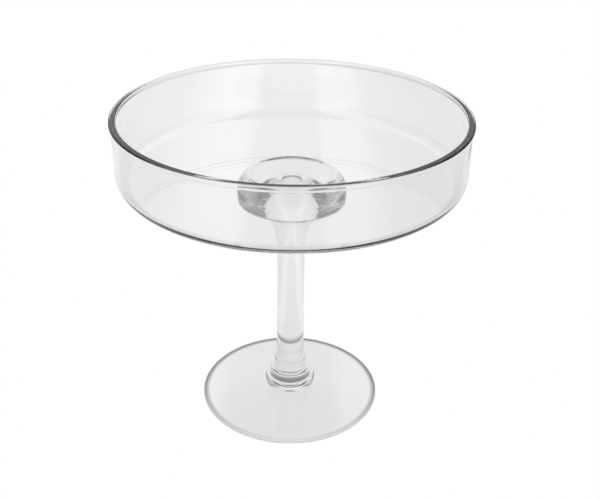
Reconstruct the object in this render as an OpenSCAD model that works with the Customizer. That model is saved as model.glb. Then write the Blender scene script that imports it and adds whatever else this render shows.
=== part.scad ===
// Footed trifle bowl of clear glass: a low drum on a solid stem and a round foot.
// Every piece is a hot-worked gather of glass, so each one is a body of revolution
// about the upright Z axis. The origin is the middle of the ring the foot rests on.

/* [Bowl] */
// Outer radius of the rim
rim_r = 120; // [90:0.5:150]
// Width of the flat top of the rim, from the inside of the bowl to its outer edge
rim_w = 4.8; // [3.5:0.1:8]
// Height of the thickened band at the rim
rim_h = 1.4; // [1:0.1:6]
// Radius that the fire-polished edges of the rim are rounded to
rim_edge_r = 0.5; // [0.3:0.1:1]
// Thickness of the side wall
wall_t = 3.5; // [2.5:0.1:4.6]
// Outside depth of the bowl, from the rim to its flat underside
bowl_depth = 47; // [30:0.5:90]
// Thickness of the bowl's floor
floor_t = 5; // [3:0.1:8]
// Outside radius of the turn from the floor to the wall
corner_r = 11.7; // [7:0.1:24]
// Inside radius of that turn
inner_corner_r = 5.5; // [3:0.1:12]

/* [Button under the bowl] */
// Radius of the pressed button that carries the bowl
button_r = 37.6; // [30:0.1:50]
// Thickness of the button at its side
button_side_h = 16; // [13:0.1:22]
// Radius that both edges of the button are rounded to
button_edge_r = 6; // [2:0.1:6]
// Angle at which the button's underside slopes down to the stem, in degrees
underside_angle = 15; // [8:0.5:22]
// Radius of the short neck between the button and the bowl's floor, at its narrowest
neck_r = 23; // [18:0.1:27]
// Height of that neck
neck_h = 5; // [4:0.1:5]
// Radius of the round groove that runs about the neck
groove_r = 2.6; // [2.6:0.1:4]

/* [Stem] */
// Radius of the stem at its waist
stem_r = 9.7; // [7:0.1:12]
// Length of the stem between the button and the foot boss
stem_len = 122.5; // [80:0.1:200]
// Height over which the stem widens in a long curve below the button
flare_h = 35.5; // [25:0.5:45]
// Radius of that long curve
flare_curve_r = 90; // [70:0.5:140]
// Radius of the tight curve where the stem runs into the button
flare_root_r = 6; // [3:0.1:7]
// Height over which the stem's lower end swells
swell_h = 40; // [20:0.5:42]
// How much wider the stem is at its lower end than at its waist
swell = 0.5; // [0.2:0.1:1]

/* [Boss on the foot] */
// Radius of the ring at the bottom of the boss
boss_r = 18.6; // [16.5:0.1:26]
// Height of the whole boss
boss_h = 21.5; // [17:0.1:30]
// Height of that bottom ring
boss_ring_h = 5.5; // [3:0.1:8]
// Radius of the middle ring
middle_r = 15; // [14:0.1:15.8]
// Height of the middle ring's top above the foot
middle_h = 11.8; // [9:0.1:15]
// Radius that the upper edges of these two rings are rounded to
boss_edge_r = 2.5; // [0.5:0.1:2.5]
// Radius of the collar that grips the stem's end
collar_r = 11.8; // [11.5:0.1:13]
// Radius that the collar's upper edge is rounded to
collar_edge_r = 1.2; // [0.4:0.1:1.2]

/* [Foot] */
// Outer radius of the foot
foot_r = 66.1; // [45:0.5:90]
// Height of the foot's upper face where the boss sits on it
foot_h = 11; // [8:0.1:24]
// Thickness of the foot at its rounded edge
foot_edge_t = 4; // [2.5:0.1:6]
// Thickness of the foot at its middle
foot_mid_t = 5.5; // [3:0.1:8]
// Width of the flat ring that the foot rests on
rest_w = 4; // [2:0.1:8]

/* [Hidden] */
$fn = 128;

// Curves of the flare: the long one ends where it leans by flare_lean, and the tight one goes on
flare_lean = asin(flare_h / flare_curve_r);
flare_bend_r = stem_r + flare_curve_r * (1 - cos(flare_lean));
root_centre_r = flare_bend_r + flare_root_r * cos(flare_lean);
root_rise = flare_root_r * (cos(underside_angle) - sin(flare_lean));
flare_z = stem_len - root_rise - flare_h;
flare_r = root_centre_r - flare_root_r * sin(underside_angle);

// The underside meets the lower edge's curve where that has turned through most of its slope
turned_share = 0.8;
touch_angle = underside_angle * turned_share;
button_round_r = button_r - button_edge_r;
button_lower_h = button_side_h - button_edge_r;
touch_r = button_round_r + button_edge_r * sin(touch_angle);
touch_h = button_lower_h + button_edge_r * cos(touch_angle);
button_body_h = touch_h + (touch_r - flare_r) * tan(underside_angle);
button_h = neck_h + button_body_h;

// Heights of the seats, counted up from the resting ring
boss_z = foot_h;
stem_z = boss_z + boss_h;
button_z = stem_z + stem_len;
bowl_z = button_z + button_h;
rim_z = bowl_z + bowl_depth;

// Sizes that follow from the ones above
bowl_in_r = rim_r - rim_w;
wall_out_r = bowl_in_r + wall_t;
rim_lip = rim_r - wall_out_r;
foot_edge_r = foot_edge_t / 2;
foot_cone_r = foot_r - foot_edge_r;
rest_out_r = foot_cone_r;
rest_in_r = rest_out_r - rest_w;
foot_hollow_h = foot_h - foot_mid_t;

// Half section of a drum with a rounded lower corner
module drum_section(radius, bottom, top, corner) {
    translate([0, bottom]) square([radius - corner, top - bottom]);
    translate([0, bottom + corner]) square([radius, top - bottom - corner]);
    translate([radius - corner, bottom + corner]) circle(r = corner);
}

// Half section of a disc with a rounded upper edge
module disc_section(radius, height, edge) {
    square([radius - edge, height]);
    square([radius, height - edge]);
    translate([radius - edge, height - edge]) circle(r = edge);
}

// Section of the thickened rim, with both top edges rounded and a sloped underside
module rim_section() {
    translate([bowl_in_r, rim_z]) {
        translate([0, -rim_h]) square([rim_w, rim_h - rim_edge_r]);
        translate([rim_edge_r, -rim_h]) square([rim_w - 2 * rim_edge_r, rim_h]);
        for (x = [rim_edge_r, rim_w - rim_edge_r])
            translate([x, -rim_edge_r]) circle(r = rim_edge_r);
        polygon([[0, -rim_h], [0, -rim_h - rim_lip], [wall_t, -rim_h - rim_lip], [rim_w, -rim_h]]);
    }
}

// Drum of the bowl: an even wall, a flat floor and a thickened rim
module bowl() {
    color([0.88, 0.92, 0.91, 0.35])
        rotate_extrude() {
            difference() {
                drum_section(wall_out_r, bowl_z, rim_z - rim_h, corner_r);
                drum_section(bowl_in_r, bowl_z + floor_t, rim_z, inner_corner_r);
            }
            rim_section();
        }
}

// Half section of the button's body, with its middle at the top face: a disc with a sloped
// underside, whose upper and lower edges are cut round
module button_section() {
    slope_h = (button_r - flare_r) * tan(underside_angle);
    cut_r = button_round_r + (button_body_h - button_lower_h) * tan(underside_angle);
    difference() {
        polygon([[0, 0], [button_r, 0], [button_r, slope_h - button_body_h],
                 [flare_r, -button_body_h], [0, -button_body_h]]);
        difference() {
            translate([button_round_r, -button_edge_r]) square(button_edge_r);
            translate([button_round_r, -button_edge_r]) circle(r = button_edge_r);
        }
        difference() {
            polygon([[button_round_r, -button_lower_h], [button_r, -button_lower_h],
                     [button_r, -button_body_h], [cut_r, -button_body_h]]);
            translate([button_round_r, -button_lower_h]) circle(r = button_edge_r);
        }
    }
}

// Half section of the neck above it, rooted in the body and waisted by the round groove
module neck_section() {
    difference() {
        translate([0, -button_edge_r]) square([neck_r + groove_r, button_edge_r + neck_h]);
        translate([neck_r + groove_r, neck_h / 2]) circle(r = groove_r);
    }
}

// Pressed button on a short neck, which joins the bowl's floor to the stem
module bowl_button() {
    color([0.86, 0.91, 0.90, 0.35])
        translate([0, 0, bowl_z - neck_h]) {
            rotate_extrude() button_section();
            rotate_extrude() neck_section();
        }
}

// Solid drawn stem: a slim waist, a flare that runs into the button and a slight swell below
module stem() {
    bend_z = flare_z + flare_h;
    color([0.87, 0.91, 0.91, 0.35])
        translate([0, 0, stem_z])
            rotate_extrude() {
                difference() {
                    square([flare_bend_r, bend_z]);
                    translate([stem_r, swell_h]) square([flare_bend_r - stem_r, flare_z - swell_h]);
                    translate([stem_r + flare_curve_r, flare_z]) circle(r = flare_curve_r);
                    difference() {
                        translate([stem_r, 0]) square([flare_bend_r - stem_r, swell_h]);
                        polygon([[stem_r, 0], [stem_r + swell, 0], [stem_r, swell_h]]);
                    }
                }
                difference() {
                    translate([0, bend_z]) square([flare_r, stem_len - bend_z]);
                    translate([root_centre_r, bend_z - flare_root_r * sin(flare_lean)])
                        circle(r = flare_root_r);
                }
            }
}

// Boss that holds the stem's end on the foot: two stacked rings and a collar
module foot_boss() {
    color([0.86, 0.90, 0.90, 0.35])
        translate([0, 0, boss_z])
            rotate_extrude() {
                disc_section(boss_r, boss_ring_h, boss_edge_r);
                disc_section(middle_r, middle_h, boss_edge_r);
                disc_section(collar_r, boss_h, collar_edge_r);
            }
}

// Round foot: a shallow cone with a rounded edge, hollowed below inside its resting ring
module foot() {
    color([0.87, 0.91, 0.91, 0.35])
        rotate_extrude()
            difference() {
                union() {
                    polygon([[0, 0], [foot_cone_r, 0], [foot_cone_r, foot_edge_t],
                             [boss_r, foot_h], [0, foot_h]]);
                    translate([foot_cone_r, foot_edge_r]) circle(r = foot_edge_r);
                }
                polygon([[0, 0], [rest_in_r, 0], [0, foot_hollow_h]]);
            }
}

bowl();
bowl_button();
stem();
foot_boss();
foot();
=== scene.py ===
# %% [markdown]
# A footed trifle bowl in clear glass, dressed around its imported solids
#
# The object is five gathers of hot glass fused into one: a wide low drum, the button that
# carries it, a drawn stem, a boss and a round foot. Glass has hardly any colour of its own.
# What the eye reads is how each thickness, edge and rounding bends the surroundings, so the
# shapes have to be exact, and the light has to give them something dark and something bright
# to bend. The lesson goes in this order: measures, the tools that turn a piece, the finishes,
# the five pieces from the top down, and then the light and the camera.

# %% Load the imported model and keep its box
import math

import bmesh
import bpy
import numpy as np
from mathutils import Matrix, Vector


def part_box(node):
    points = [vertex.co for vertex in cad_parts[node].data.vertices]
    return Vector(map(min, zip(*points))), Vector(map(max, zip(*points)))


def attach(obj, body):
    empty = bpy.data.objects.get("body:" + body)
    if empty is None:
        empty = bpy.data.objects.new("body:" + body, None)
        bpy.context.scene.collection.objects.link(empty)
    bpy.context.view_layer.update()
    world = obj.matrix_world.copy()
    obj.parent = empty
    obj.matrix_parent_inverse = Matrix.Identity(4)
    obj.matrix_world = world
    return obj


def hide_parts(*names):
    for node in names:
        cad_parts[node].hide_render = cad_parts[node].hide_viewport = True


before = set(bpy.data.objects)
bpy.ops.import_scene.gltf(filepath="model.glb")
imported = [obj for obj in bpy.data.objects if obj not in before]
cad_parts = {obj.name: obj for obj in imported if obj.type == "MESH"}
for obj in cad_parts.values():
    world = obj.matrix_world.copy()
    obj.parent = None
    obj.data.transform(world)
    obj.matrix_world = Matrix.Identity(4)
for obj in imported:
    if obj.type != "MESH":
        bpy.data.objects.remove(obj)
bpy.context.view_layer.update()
print("nodes in the frame:", sorted(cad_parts))

# %% [markdown]
# Measures
#
# Radii and heights of the seats come from the boxes of the solids, so a piece can't drift
# from what carries it. What a box can't tell, such as a wall's thickness or a rounding, is a
# named size beside its piece. Blender works in metres and a glass blower thinks in
# millimetres, so each size is written as a number times a millimetre.

# %% Radii and heights of the seats
mm = 0.001


def reach(node):
    """Outer radius, lowest height and highest height of a CAD node."""
    low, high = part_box(node)
    return high.x, low.z, high.z


rim_r, bowl_z, rim_z = reach("bowl")
button_r, button_z, _ = reach("bowl_button")
flare_r, stem_z, _ = reach("stem")
boss_r, boss_z, _ = reach("foot_boss")
foot_r, ground_z, _ = reach("foot")

print(f"rim {2 * rim_r / mm:.0f} mm across and {rim_z / mm:.0f} mm high")
print(f"foot {2 * foot_r / mm:.1f} mm across")

# %% [markdown]
# The outline of a turned piece
#
# A piece of hand-worked glass is turned on its iron all the time, so it is a body of
# revolution, and half an outline says everything about it. Each outline here is a short list
# of corners. A corner has a radius, a height and a rounding, and the helper puts an exact arc
# there. Long straight runs get extra points, so that a ripple has something to move.

# %% Outline helpers
ARC_STEP = math.radians(6)
ARC_CHORD = 1.5 * mm
RUN_STEP = 3 * mm
FEWEST_ARC_STEPS = 3
NEARLY_STRAIGHT = math.pi - 1e-4


def outline(corners):
    """Points of a half outline. Each corner is (radius, height, rounding), all in metres."""
    spots = [Vector(corner[:2]) for corner in corners]
    points = [spots[0]]

    def run_to(target):
        start = points[-1]
        parts = max(1, math.ceil((target - start).length / RUN_STEP))
        points.extend(start.lerp(target, (i + 1) / parts) for i in range(parts))

    for before, here, after, corner in zip(spots, spots[1:], spots[2:], corners[1:]):
        rounding = corner[2]
        back, ahead = (before - here).normalized(), (after - here).normalized()
        opening = back.angle(ahead)
        if rounding == 0 or opening > NEARLY_STRAIGHT:
            run_to(here)
            continue
        cut = rounding / math.tan(opening / 2)
        centre = here + (back + ahead).normalized() * rounding / math.sin(opening / 2)
        first, last = here + back * cut, here + ahead * cut
        run_to(first)
        turn = math.pi - opening
        steps = max(FEWEST_ARC_STEPS, math.ceil(turn / ARC_STEP))
        sign = 1 if (first - centre).cross(last - centre) > 0 else -1
        for i in range(1, steps + 1):
            spoke = (first - centre).copy()
            spoke.rotate(Matrix.Rotation(sign * turn * i / steps, 2))
            points.append(centre + spoke)
    run_to(spots[-1])
    return points


def arc(centre_r, centre_z, radius, start, end):
    """Corners along an arc, from one angle to another in radians, with both its ends."""
    turn = end - start
    steps = math.ceil(max(abs(turn) / ARC_STEP, abs(turn) * radius / ARC_CHORD))
    angles = [start + turn * i / steps for i in range(steps + 1)]
    return [(centre_r + radius * math.cos(a), centre_z + radius * math.sin(a), 0) for a in angles]


sample = outline([(0, 0, 0), (10 * mm, 0, 2 * mm), (10 * mm, 5 * mm, 0)])
print("a small disc with one rounded edge is drawn with", len(sample), "points")

# %% [markdown]
# The turning tree
#
# Spinning an outline could be done with the Screw modifier, but a node tree says the rule
# openly and can add the marks of handwork. The tree lays a flat grid, one column for each
# step round the axis and one row for each point of the outline. Every grid point looks up its
# outline point by its row, and is placed by its column's angle. A slow noise then moves the
# soft stretches in and out by a fraction of a millimetre, as tools do on hot glass. Merging by
# distance closes the seam and the poles, so the piece is one watertight skin.

# %% Build the turning tree
TURN_INPUTS = {
    "Steps round": ("NodeSocketInt", 256),
    "Ripple height": ("NodeSocketFloat", 0.0),
    "Ripple waves": ("NodeSocketFloat", 30.0),
    "Seed": ("NodeSocketInt", 1),
    "Finish": ("NodeSocketMaterial", None),
}
GRID_HALF = 0.5
NOISE_MIDDLE = 0.5
RIPPLE_DETAIL = 1.0
MERGE_WITHIN = 0.001 * mm


def turning_tree():
    """Node tree that spins an outline about the upright axis and ripples its soft stretches."""
    tree = bpy.data.node_groups.new("turned_glass", "GeometryNodeTree")
    tree.interface.new_socket("Outline", in_out="INPUT", socket_type="NodeSocketGeometry")
    for name, (kind, value) in TURN_INPUTS.items():
        socket = tree.interface.new_socket(name, in_out="INPUT", socket_type=kind)
        if value is not None:
            socket.default_value = value
    tree.interface.new_socket("Piece", in_out="OUTPUT", socket_type="NodeSocketGeometry")
    add, link = tree.nodes.new, tree.links.new

    def math_node(operation, *values):
        node = add("ShaderNodeMath")
        node.operation = operation
        for socket, value in zip(node.inputs, values):
            if isinstance(value, (int, float)):
                socket.default_value = value
            else:
                link(value, socket)
        return node.outputs[0]

    def named_attribute(kind, name):
        node = add("GeometryNodeInputNamedAttribute")
        node.data_type = kind
        node.inputs["Name"].default_value = name
        return node.outputs["Attribute"]

    def outline_value(kind, source):
        """The outline's value at the point that this row of the grid stands for."""
        node = add("GeometryNodeSampleIndex")
        node.data_type = kind
        link(given.outputs["Outline"], node.inputs["Geometry"])
        link(source, node.inputs["Value"])
        link(row, node.inputs["Index"])
        return node.outputs["Value"]

    def round_the_axis(vector):
        """A vector of the outline, which lies in the XZ plane, turned by the column's angle."""
        parts, whole = add("ShaderNodeSeparateXYZ"), add("ShaderNodeCombineXYZ")
        link(vector, parts.inputs[0])
        link(math_node("MULTIPLY", parts.outputs["X"], cosine), whole.inputs["X"])
        link(math_node("MULTIPLY", parts.outputs["X"], sine), whole.inputs["Y"])
        link(parts.outputs["Z"], whole.inputs["Z"])
        return whole.outputs[0]

    given = add("NodeGroupInput")
    size = add("GeometryNodeAttributeDomainSize")
    link(given.outputs["Outline"], size.inputs["Geometry"])
    rows = size.outputs["Point Count"]
    grid = add("GeometryNodeMeshGrid")
    link(math_node("ADD", given.outputs["Steps round"], 1), grid.inputs["Vertices X"])
    link(rows, grid.inputs["Vertices Y"])

    # The grid is one unit wide and deep about its middle, so its places serve as shares
    place, cell = add("GeometryNodeInputPosition"), add("ShaderNodeSeparateXYZ")
    link(place.outputs[0], cell.inputs[0])
    share_up = math_node("ADD", cell.outputs["Y"], GRID_HALF)
    share_round = math_node("ADD", cell.outputs["X"], GRID_HALF)
    row = math_node("ROUND", math_node("MULTIPLY", share_up, math_node("SUBTRACT", rows, 1)))
    angle = math_node("MULTIPLY", share_round, 2 * math.pi)
    cosine, sine = math_node("COSINE", angle), math_node("SINE", angle)

    spot = round_the_axis(outline_value("FLOAT_VECTOR", place.outputs[0]))
    facing = named_attribute("FLOAT_VECTOR", "outward")
    outward = round_the_axis(outline_value("FLOAT_VECTOR", facing))
    soft = outline_value("FLOAT", named_attribute("FLOAT", "soft"))

    noise = add("ShaderNodeTexNoise")
    noise.noise_dimensions = "4D"
    noise.inputs["Detail"].default_value = RIPPLE_DETAIL
    link(spot, noise.inputs["Vector"])
    link(given.outputs["Seed"], noise.inputs["W"])
    link(given.outputs["Ripple waves"], noise.inputs["Scale"])
    lift = math_node("SUBTRACT", noise.outputs["Fac"], NOISE_MIDDLE)
    lift = math_node("MULTIPLY", math_node("MULTIPLY", lift, soft), given.outputs["Ripple height"])
    push, moved = add("ShaderNodeVectorMath"), add("GeometryNodeSetPosition")
    push.operation = "SCALE"
    link(outward, push.inputs[0])
    link(lift, push.inputs["Scale"])
    link(grid.outputs["Mesh"], moved.inputs["Geometry"])
    link(spot, moved.inputs["Position"])
    link(push.outputs[0], moved.inputs["Offset"])

    closed, real = add("GeometryNodeMergeByDistance"), add("GeometryNodeRealizeInstances")
    closed.inputs["Distance"].default_value = MERGE_WITHIN
    link(moved.outputs[0], closed.inputs["Geometry"])
    link(closed.outputs[0], real.inputs[0])
    painted, result = add("GeometryNodeSetMaterial"), add("NodeGroupOutput")
    link(real.outputs[0], painted.inputs["Geometry"])
    link(given.outputs["Finish"], painted.inputs["Material"])
    link(painted.outputs[0], result.inputs["Piece"])
    return tree


turning = turning_tree()
print("turning tree:", len(turning.nodes), "nodes,", len(TURN_INPUTS), "named inputs")

# %% [markdown]
# Finishes
#
# Clear glass is a Principled shader with full transmission, no roughness and an index of
# refraction of 1.5. The base colour is almost white with a breath of grey, which stands in
# for the little light that thick glass swallows. What makes it look made by hand is a very
# weak bump: rings left by turning, and slow waves where the tools pressed. It is all read
# from Object coordinates, so the marks sit still on the glass from every side.

# %% Clear glass with turning marks
GLASS_IOR = 1.5
RING_DETAIL = 3.0
WAVE_SCALE = 45.0
WAVE_DETAIL = 1.0
WAVE_HEIGHT = 0.03 * mm


def object_place(nodes, link):
    """Place on the object, the three parts of that place, and its distance from the axis."""
    where, parts = nodes.new("ShaderNodeTexCoord"), nodes.new("ShaderNodeSeparateXYZ")
    across, flat = nodes.new("ShaderNodeCombineXYZ"), nodes.new("ShaderNodeVectorMath")
    flat.operation = "LENGTH"
    link(where.outputs["Object"], parts.inputs[0])
    link(parts.outputs["X"], across.inputs["X"])
    link(parts.outputs["Y"], across.inputs["Y"])
    link(across.outputs[0], flat.inputs[0])
    return where.outputs["Object"], parts.outputs, flat.outputs["Value"]


def glass(name, colour, ring_height, ring_scale):
    """Clear glass. Rings follow the distance from the axis and the height; waves cover all."""
    material = bpy.data.materials.new(name)
    material.use_nodes = True
    nodes, link = material.node_tree.nodes, material.node_tree.links.new
    shader = nodes["Principled BSDF"]
    shader.inputs["Base Color"].default_value = (*colour, 1)
    shader.inputs["Roughness"].default_value = 0.0
    shader.inputs["IOR"].default_value = GLASS_IOR
    shader.inputs["Transmission Weight"].default_value = 1.0

    place, parts, from_axis = object_place(nodes, link)
    ring_place = nodes.new("ShaderNodeCombineXYZ")
    link(from_axis, ring_place.inputs["X"])
    link(parts["Z"], ring_place.inputs["Z"])
    normal = None
    for source, scale, detail, height in (
        (ring_place.outputs[0], ring_scale, RING_DETAIL, ring_height),
        (place, WAVE_SCALE, WAVE_DETAIL, WAVE_HEIGHT),
    ):
        noise, bump = nodes.new("ShaderNodeTexNoise"), nodes.new("ShaderNodeBump")
        noise.inputs["Scale"].default_value = scale
        noise.inputs["Detail"].default_value = detail
        bump.inputs["Distance"].default_value = height
        link(source, noise.inputs["Vector"])
        link(noise.outputs["Fac"], bump.inputs["Height"])
        if normal is not None:
            link(normal, bump.inputs["Normal"])
        normal = bump.outputs[0]
    link(normal, shader.inputs["Normal"])
    return material


drum_glass = glass(
    "drum_glass", (0.966, 0.971, 0.969), ring_height=0.02 * mm, ring_scale=160.0
)
solid_glass = glass(
    "solid_glass", (0.94, 0.947, 0.945), ring_height=0.01 * mm, ring_scale=220.0
)
foot_glass = glass(
    "foot_glass", (0.96, 0.966, 0.964), ring_height=0.015 * mm, ring_scale=140.0
)
print("glass finishes:", [finish.name for finish in (drum_glass, solid_glass, foot_glass)])

# %% [markdown]
# The fused joints
#
# Two gathers that were joined hot have no surface left between them, so light passes from one
# to the other as if they were one body. As separate pieces they meet face to face instead,
# and two glass faces with nothing between would show as a mirror. The faces that touch
# therefore get a finish of their own that lets everything through unbent. Two such faces at
# exactly the same place would stop the light, because a ray can't tell which comes first, so
# the lower one lies a few hundredths of a millimetre deeper.

# %% Finish of a fused joint
def fused_finish():
    """Lets every ray through unbent, as if the face weren't there."""
    material = bpy.data.materials.new("fused_joint")
    material.use_nodes = True
    shader = material.node_tree.nodes["Principled BSDF"]
    shader.inputs["Base Color"].default_value = (1, 1, 1, 1)
    shader.inputs["Specular IOR Level"].default_value = 0.0
    shader.inputs["Alpha"].default_value = 0.0
    return material


fused_joint = fused_finish()
print("finish of the joints:", fused_joint.name)

# %% Circles in which the gathers touch
# The button's shoulder rounds away from the drum's floor, so they touch only inside it
shoulder_r = 10.6 * mm
contact_r = button_r - shoulder_r
stem_end_r = 10.2 * mm
fused_circles = [
    (bowl_z, contact_r),
    (button_z, flare_r),
    (stem_z, stem_end_r),
    (boss_z, boss_r),
]
print("radii of the joints in mm:", [round(radius / mm, 1) for _, radius in fused_circles])

# %% [markdown]
# Turning a piece
#
# One function takes an outline through the tree and gives back a plain mesh. It also turns
# the faces outward, gives each face its finish and marks the sharp edges. A face is fused
# where it lies on a seat and inside the circle in which the two gathers touch.

# %% Turn an outline into a finished piece
SHARP_ANGLE = math.radians(25)
ON_SEAT = 0.001 * mm
FUSED_GAP = 0.03 * mm


def bare_outline(name, points, soft):
    """The outline as a mesh of points and edges, with its outward directions and softness."""
    mesh = bpy.data.meshes.new(name + "_outline")
    edges = [(i, i + 1) for i in range(len(points) - 1)]
    mesh.from_pydata([(p.x, 0, p.y) for p in points], edges, [])
    line = np.array(points)
    along = np.gradient(line, axis=0)
    outward = np.stack([along[:, 1], np.zeros(len(line)), -along[:, 0]], axis=1)
    outward /= np.linalg.norm(outward, axis=1)[:, None]
    facing = mesh.attributes.new("outward", "FLOAT_VECTOR", "POINT")
    facing.data.foreach_set("vector", outward.ravel())
    softness = mesh.attributes.new("soft", "FLOAT", "POINT")
    softness.data.foreach_set("value", [soft(p.x, p.y) for p in points])
    return mesh


def face_outward(mesh):
    """Turn all faces outward, and count the edges that don't join exactly two of them."""
    skin = bmesh.new()
    skin.from_mesh(mesh)
    bmesh.ops.recalc_face_normals(skin, faces=skin.faces)
    open_edges = sum(1 for edge in skin.edges if len(edge.link_faces) != 2)
    skin.to_mesh(mesh)
    skin.free()
    return open_edges


def is_fused(spots):
    """Whether a face with these corners lies in a circle where two gathers touch."""
    return any(
        all(abs(s.z - seat) < ON_SEAT and s.xy.length < radius + ON_SEAT for s in spots)
        for seat, radius in fused_circles
    )


def paint(mesh, finish):
    """Give each face its finish, and lay the lower face of each fused pair a little deeper."""
    # The tree leaves an empty slot in front, so the slots are laid out anew
    mesh.materials.clear()
    for material in (finish, fused_joint):
        mesh.materials.append(material)
    below = set()
    for face in mesh.polygons:
        face.use_smooth = True
        face.material_index = int(is_fused([mesh.vertices[i].co for i in face.vertices]))
        if face.material_index and face.normal.z > 0:
            below.update(face.vertices)
    for index in below:
        mesh.vertices[index].co.z -= FUSED_GAP
    return sum(face.material_index for face in mesh.polygons)


def still(radius, height):
    """No part of the skin ripples."""
    return 0.0


def turned(name, corners, finish, seed, ripple=0.0, waves=30.0, soft=still):
    """A piece turned from its outline. The ripple moves it where soft is above zero."""
    piece = bpy.data.objects.new(name, bare_outline(name, outline(corners), soft))
    bpy.context.scene.collection.objects.link(piece)
    lathe = piece.modifiers.new("turning", "NODES")
    lathe.node_group = turning
    given = {"Ripple height": ripple, "Ripple waves": waves, "Seed": seed, "Finish": finish}
    for item in turning.interface.items_tree:
        if item.name in given and item.in_out == "INPUT":
            lathe[item.identifier] = given[item.name]
    ready = piece.evaluated_get(bpy.context.evaluated_depsgraph_get())
    mesh = bpy.data.meshes.new_from_object(ready)
    piece.modifiers.clear()
    piece.data = mesh
    mesh.name = name
    open_edges = face_outward(mesh)
    fused = paint(mesh, finish)
    mesh.set_sharp_from_angle(angle=SHARP_ANGLE)
    print(f"{name}: {len(mesh.polygons)} faces, {fused} fused, {open_edges} open edges")
    return piece


def settle(piece, node):
    """The piece stands for its CAD node, which is hidden, and rides on the one body."""
    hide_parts(node)
    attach(piece, "root")


# %% [markdown]
# The drum
#
# The drum is a gather blown out wide and low, with an even wall, a thicker flat floor, a
# rounded turn between them and a rim that drew up thick when its edge was melted smooth. A
# shell with one thickness would be quicker, but the thick rim is what carries light round
# the bowl and shows as its dark band, so wall, floor and rim each have their own thickness
# in one closed outline. A blown wall is never quite even inside. The ripple there bends the
# light a little, and fades out below the rim, which was trued last.

# %% The drum
rim_w = 4.8 * mm
rim_h = 2.4 * mm
rim_edge_r = 1.2 * mm
rim_under_r = 0.8 * mm
wall_t = 3.5 * mm
floor_t = 5 * mm
corner_out_r = 11.7 * mm
corner_in_r = 5.5 * mm
bowl_in_r = rim_r - rim_w
bowl_out_r = bowl_in_r + wall_t
rim_lip = rim_r - bowl_out_r
calm_under_rim = 12 * mm
drum_corners = [
    (0, bowl_z, 0),
    (contact_r, bowl_z, 0),
    (bowl_out_r, bowl_z, corner_out_r),
    (bowl_out_r, rim_z - rim_h - rim_lip, rim_edge_r),
    (rim_r, rim_z - rim_h, rim_under_r),
    (rim_r, rim_z, rim_edge_r),
    (bowl_in_r, rim_z, rim_edge_r),
    (bowl_in_r, bowl_z + floor_t, corner_in_r),
    (0, bowl_z + floor_t, 0),
]


def inside_of_drum(radius, height):
    """Only the inner skin of the drum ripples, and less and less towards the rim."""
    if radius > bowl_in_r + ON_SEAT or height < bowl_z + floor_t - ON_SEAT:
        return 0.0
    return min(1.0, (rim_z - height) / calm_under_rim)


drum = turned(
    "drum", drum_corners, drum_glass, seed=3, ripple=0.12 * mm, waves=28.0, soft=inside_of_drum
)
settle(drum, "bowl")

# %% [markdown]
# The button under the drum
#
# The button catches the eye: a thick disc of glass that was pressed on under the drum while
# hot, and that carries it. Its shoulder leaves the floor in one wide round, and its belly
# slopes down to the stem. Both turn light right round, which shows through the drum as a
# dark bow with a light middle. A bevelled cylinder would come near, but the slope of the
# belly decides where the bow turns light, so the outline has it as a size of its own.

# %% The button
belly_edge_r = 4 * mm
underside_slope = math.radians(15)
belly_z = button_z + (button_r - flare_r) * math.tan(underside_slope)
calm_at_seat = 2 * mm
calm_at_side = 3 * mm
button_corners = [
    (0, button_z, 0),
    (flare_r, button_z, 0),
    (button_r, belly_z, belly_edge_r),
    (button_r, bowl_z, shoulder_r),
    (0, bowl_z, 0),
]


def pressed_skin(radius, height):
    """The shoulder and the belly are uneven from pressing; the seats and the side stay true."""
    from_seats = min(bowl_z - height, height - button_z) / calm_at_seat
    return max(0.0, min(1.0, (button_r - radius) / calm_at_side, from_seats))


button = turned(
    "button", button_corners, solid_glass, seed=5, ripple=0.3 * mm, waves=55.0, soft=pressed_skin
)
settle(button, "bowl_button")

# %% [markdown]
# The stem
#
# The stem was drawn out of hot glass, so it is a solid rod: slim at its waist, a little wider
# at its lower end, and flared like a trumpet at the top. The flare could be a free curve
# drawn by eye. Here it is two arcs instead, a long one and a tight one, because their radii
# and ends follow from the other sizes: they meet without a kink, and the tight one runs out
# in the slope of the button's underside.

# %% The stem
stem_r = 9.7 * mm
swell_h = 40 * mm
swell_blend_r = 60 * mm
flare_h = 35.5 * mm
flare_curve_r = 90 * mm
flare_lean = math.asin(flare_h / flare_curve_r)
flare_bend_r = stem_r + flare_curve_r * (1 - math.cos(flare_lean))
root_r = (flare_r - flare_bend_r) / (math.cos(flare_lean) - math.sin(underside_slope))
root_centre_r = flare_r + root_r * math.sin(underside_slope)
root_centre_z = button_z - root_r * math.cos(underside_slope)
flare_start_z = root_centre_z + root_r * math.sin(flare_lean) - flare_h
calm_at_end = 10 * mm
long_arc = arc(
    stem_r + flare_curve_r, flare_start_z, flare_curve_r, math.pi, math.pi - flare_lean
)
tight_arc = arc(
    root_centre_r, root_centre_z, root_r, math.pi - flare_lean, math.pi / 2 + underside_slope
)
stem_corners = [
    (0, stem_z, 0),
    (stem_end_r, stem_z, 0),
    (stem_r, stem_z + swell_h, swell_blend_r),
    *long_arc,
    *tight_arc[1:],
    (0, button_z, 0),
]


def drawn_skin(radius, height):
    """A drawn rod wavers a little between its two true ends, whatever its radius."""
    return max(0.0, min(1.0, (height - stem_z) / calm_at_end, (button_z - height) / calm_at_end))


stem = turned(
    "stem_rod", stem_corners, solid_glass, seed=7, ripple=0.3 * mm, waves=35.0, soft=drawn_skin
)
settle(stem, "stem")

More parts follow.
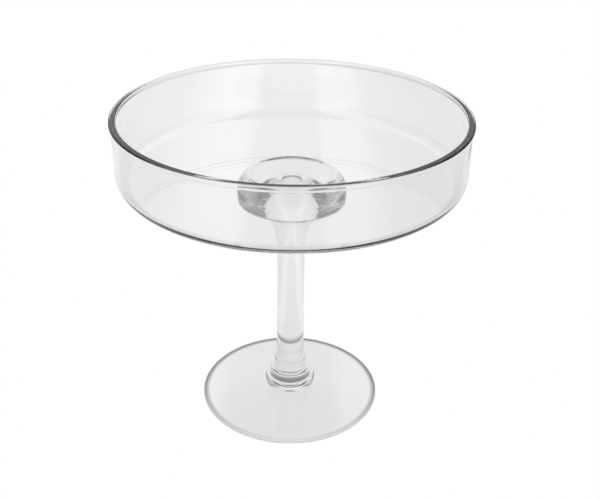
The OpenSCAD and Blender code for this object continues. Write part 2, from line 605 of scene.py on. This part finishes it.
# %% [markdown]
# The boss on the foot
#
# Where the stem lands on the foot, a little hot glass was wrapped round it and tooled into
# two stacked rings and a collar. Separate rings pushed into each other would be easy to
# make, but clear glass shows every hidden wall, so the boss is one outline. Its inner
# corners keep a small round, because hot glass never folds sharp.

# %% The boss
ring_h = 5.5 * mm
middle_r = 15 * mm
middle_h = 11.8 * mm
collar_r = 11.8 * mm
boss_edge_r = 2.5 * mm
collar_edge_r = 1.2 * mm
fold_r = 0.4 * mm
boss_corners = [
    (0, boss_z, 0),
    (boss_r, boss_z, 0),
    (boss_r, boss_z + ring_h, boss_edge_r),
    (middle_r, boss_z + ring_h, fold_r),
    (middle_r, boss_z + middle_h, boss_edge_r),
    (collar_r, boss_z + middle_h, fold_r),
    (collar_r, stem_z, collar_edge_r),
    (stem_end_r, stem_z, 0),
    (0, stem_z, 0),
]
boss = turned("boss_ring", boss_corners, solid_glass, seed=11)
settle(boss, "foot_boss")

# %% [markdown]
# The foot
#
# The foot is a small gather, spun until it opened into a disc: a shallow cone with a rounded
# edge. Below, it is hollowed a little, so that it stands on a ring near its edge and doesn't
# rock. A flat disc would be simpler, but the slope and the hollow are what bends the table's
# light, and the foot's soft grey comes from that.

# %% The foot
foot_edge_t = 4 * mm
foot_mid_t = 5.5 * mm
rest_w = 4 * mm
foot_edge_r = foot_edge_t / 2
rest_out_r = foot_r - foot_edge_r
foot_corners = [
    (0, boss_z - foot_mid_t, 0),
    (rest_out_r - rest_w, ground_z, 0),
    (foot_r, ground_z, foot_edge_r),
    (foot_r, ground_z + foot_edge_t, foot_edge_r),
    (boss_r, boss_z, 0),
    (0, boss_z, 0),
]
foot = turned("foot_disc", foot_corners, foot_glass, seed=13)
settle(foot, "foot")

# %% [markdown]
# The table and the surroundings
#
# Clear glass on white is lit as a bright field. A pale table and pale far walls glow softly
# all round, so light bent only a little shows the glass as clear from every side. Above the
# walls the room is dark, except behind the table, and the ceiling is dim. Light bent a lot, at
# an edge or a rounding, comes from that dark, and draws the dark lines. The table isn't lit
# evenly: it is brighter far away than near, and weak strips run along it, which the drum's
# walls gather into soft bands. Under the edge of the foot it is in shade, which outlines the
# foot. Lamps could do all this, but a glow painted by place is calm, quick and easy to tune.
#
# Only the glass sees these surroundings. The camera sees plain white, as in a cut-out
# picture. A ray that is still caught inside after ten turns is let go dark, because real
# glass would have swallowed it. That darkens the solid button, and the rim, which pipes
# light round from the wall.

# %% Helpers for glowing surfaces
def grey(level):
    """A colour with the same brightness in all its parts."""
    return (level, level, level, 1)


def ramp_of(nodes, link, source, stops):
    """Brightness looked up along a value, given as (value, brightness) stops."""
    low, high = stops[0][0], stops[-1][0]
    span, ramp = nodes.new("ShaderNodeMapRange"), nodes.new("ShaderNodeValToRGB")
    span.inputs["From Min"].default_value = low
    span.inputs["From Max"].default_value = high
    link(source, span.inputs["Value"])
    link(span.outputs["Result"], ramp.inputs["Fac"])
    marks = ramp.color_ramp.elements
    marks.remove(marks[1])
    for index, (value, brightness) in enumerate(stops):
        place = (value - low) / (high - low)
        mark = marks[0] if index == 0 else marks.new(place)
        mark.position = place
        mark.color = grey(brightness)
    return ramp.outputs["Color"]


def white_for_camera(nodes, link, kind, seen_by_glass, output):
    """The camera meets plain white; every other ray meets the other shader."""
    path, choice = nodes.new("ShaderNodeLightPath"), nodes.new("ShaderNodeMixShader")
    plain = nodes.new(kind)
    plain.inputs["Color"].default_value = grey(1)
    link(path.outputs["Is Camera Ray"], choice.inputs["Fac"])
    link(seen_by_glass, choice.inputs[1])
    link(plain.outputs[0], choice.inputs[2])
    link(choice.outputs[0], output)


# %% The table
# Each stop is a place in metres and a brightness of painted light: from near to far and from
# left to right, and then outward from the axis, the share of the glow that the painted shadow
# of the foot's edge leaves
TABLE_SIZE = 8.0
# Painted light: the table's glow is brighter far away than near, and in strips along it
TABLE_DEPTH = ((-0.6, 0.8), (-0.2, 0.75), (-0.05, 0.84), (0.1, 0.86), (0.25, 0.92), (0.6, 0.97))
TABLE_SIDES = (
    (-0.8, 0.85), (-0.3, 0.93), (-0.16, 0.95), (-0.1, 1.05), (-0.06, 1.05), (-0.042, 0.95),
    (0.03, 0.95), (0.042, 1.03), (0.08, 1.02), (0.11, 0.93), (0.2, 0.88), (0.45, 0.85),
    (0.8, 0.8),
)
# Painted shadow: a darker ring in the table's glow under the edge of the foot
CONTACT_SHADE = ((0.0, 1.0), (0.061, 1.0), (0.0645, 0.3), (0.068, 0.3), (0.076, 1.0))


def painted_table_glow():
    """A painted glow, the product of the three brightnesses with a painted shadow under the foot's
    edge, seen only through the glass.
    """
    material = bpy.data.materials.new("table_painted_light")
    material.use_nodes = True
    nodes, link = material.node_tree.nodes, material.node_tree.links.new
    nodes.remove(nodes["Principled BSDF"])
    _, parts, from_axis = object_place(nodes, link)
    light = ramp_of(nodes, link, parts["Y"], TABLE_DEPTH)
    for source, stops in ((parts["X"], TABLE_SIDES), (from_axis, CONTACT_SHADE)):
        product = nodes.new("ShaderNodeVectorMath")
        product.operation = "MULTIPLY"
        link(light, product.inputs[0])
        link(ramp_of(nodes, link, source, stops), product.inputs[1])
        light = product.outputs[0]
    glow = nodes.new("ShaderNodeEmission")
    link(light, glow.inputs["Color"])
    surface = nodes["Material Output"].inputs["Surface"]
    white_for_camera(nodes, link, "ShaderNodeEmission", glow.outputs[0], surface)
    return material


bpy.ops.mesh.primitive_plane_add(size=TABLE_SIZE)
table = bpy.context.object
table.name = "table_top"
table.data.materials.append(painted_table_glow())
glows = [glow for _, glow in TABLE_DEPTH]
print(f"table {TABLE_SIZE:.0f} m wide, with a glow from {min(glows)} to {max(glows)}")

# %% Far walls, wall behind the table, dark room and dim ceiling
# Each stop is the cosine of the angle from the wall behind the table, and a brightness
WALL_AZIMUTH = math.radians(-10)
NEAR_HORIZON = ((-1.0, 0.25), (-0.5, 0.12), (0.0, 0.03), (0.71, 0.08), (1.0, 0.85))
HALF_WAY_UP = ((-1.0, 0.12), (-0.71, 0.06), (0.0, 0.12), (0.71, 0.7), (1.0, 0.9))
FAR_WALLS = 0.8
CEILING = 0.1
# Degrees above the horizon between which one band of the room goes over into the next
END_OF_WALLS, END_OF_LOW, END_OF_MIDDLE = (3, 8), (12, 35), (35, 70)


def studio_world():
    """The room round the table, by direction: bands from the horizon up to the ceiling."""
    world = bpy.data.worlds.new("studio")
    world.use_nodes = True
    nodes, link = world.node_tree.nodes, world.node_tree.links.new
    where, parts = nodes.new("ShaderNodeTexCoord"), nodes.new("ShaderNodeSeparateXYZ")
    direction = where.outputs["Generated"]  # in a world, the way that a ray looks
    link(direction, parts.inputs[0])
    flat, level, facing = (nodes.new("ShaderNodeVectorMath") for _ in range(3))
    flat.operation, level.operation, facing.operation = "MULTIPLY", "NORMALIZE", "DOT_PRODUCT"
    flat.inputs[1].default_value = (1, 1, 0)
    facing.inputs[1].default_value = (math.sin(WALL_AZIMUTH), math.cos(WALL_AZIMUTH), 0)
    link(direction, flat.inputs[0])
    link(flat.outputs[0], level.inputs[0])
    link(level.outputs[0], facing.inputs[0])

    def go_over(band, below, above):
        """One light up to the band's lower height, another from its upper height on."""
        climb, blend = nodes.new("ShaderNodeMapRange"), nodes.new("ShaderNodeMix")
        climb.inputs["From Min"].default_value = math.sin(math.radians(band[0]))
        climb.inputs["From Max"].default_value = math.sin(math.radians(band[1]))
        link(parts.outputs["Z"], climb.inputs["Value"])
        blend.data_type = "RGBA"
        sockets = {socket.identifier: socket for socket in (*blend.inputs, *blend.outputs)}
        link(climb.outputs["Result"], sockets["Factor_Float"])
        for key, light in (("A_Color", below), ("B_Color", above)):
            if isinstance(light, float):
                sockets[key].default_value = grey(light)
            else:
                link(light, sockets[key])
        return sockets["Result_Color"]

    low = ramp_of(nodes, link, facing.outputs["Value"], NEAR_HORIZON)
    middle = ramp_of(nodes, link, facing.outputs["Value"], HALF_WAY_UP)
    room = go_over(END_OF_WALLS, FAR_WALLS, low)
    room = go_over(END_OF_LOW, room, middle)
    room = go_over(END_OF_MIDDLE, room, CEILING)
    background = nodes["Background"]
    link(room, background.inputs["Color"])
    surface = nodes["World Output"].inputs["Surface"]
    white_for_camera(nodes, link, "ShaderNodeBackground", background.outputs[0], surface)
    return world


scene = bpy.context.scene
scene.world = studio_world()
print("room:", scene.world.name, "with", len(scene.world.node_tree.nodes), "nodes")

# %% How far a ray is followed, and how its brightness is shown
TURNS_KEPT = 10
FUSED_FACES_KEPT = 32

scene.cycles.max_bounces = TURNS_KEPT
scene.cycles.transmission_bounces = TURNS_KEPT
scene.cycles.glossy_bounces = TURNS_KEPT
scene.cycles.transparent_max_bounces = FUSED_FACES_KEPT
scene.view_settings.view_transform = "Standard"
print("a ray is let go after", TURNS_KEPT, "turns")

# %% [markdown]
# The camera
#
# The picture was taken from a little above. The bowl is round, so it doesn't matter from
# which side. Two circles seen in perspective, the rim and the foot, fix the distance, the
# height and the tilt of a pinhole camera, and those are the values here. Aiming a camera by
# eye would come close, but then no line of the glass would lie where it does in the picture.

# %% Camera at the photograph's viewing angle
FRAME_WIDTH_PX = 600
FOCAL_PX = 925.65
SENSOR_WIDTH_MM = 36
PITCH, ROLL, YAW = 0.495948, 0.014721, 0.010901  # radians
CAMERA_AWAY = 0.58111
CAMERA_ABOVE_RIM = 0.210664

camera = bpy.data.objects.new("camera", bpy.data.cameras.new("camera"))
scene.collection.objects.link(camera)
camera.data.sensor_width = SENSOR_WIDTH_MM
camera.data.lens = FOCAL_PX * SENSOR_WIDTH_MM / FRAME_WIDTH_PX
level_ahead = Vector((math.sin(YAW), math.cos(YAW), 0))
ahead = level_ahead * math.cos(PITCH) - Vector((0, 0, math.sin(PITCH)))
sideways = ahead.cross(Vector((0, 0, 1))).normalized()
upward = sideways.cross(ahead)
right = sideways * math.cos(ROLL) + upward * math.sin(ROLL)
top = upward * math.cos(ROLL) - sideways * math.sin(ROLL)
pose = Matrix((right, top, -ahead)).transposed().to_4x4()
pose.translation = Vector((0, -CAMERA_AWAY, rim_z + CAMERA_ABOVE_RIM))
camera.matrix_world = pose
scene.camera = camera
print(f"camera {pose.translation.length:.3f} m from the origin")
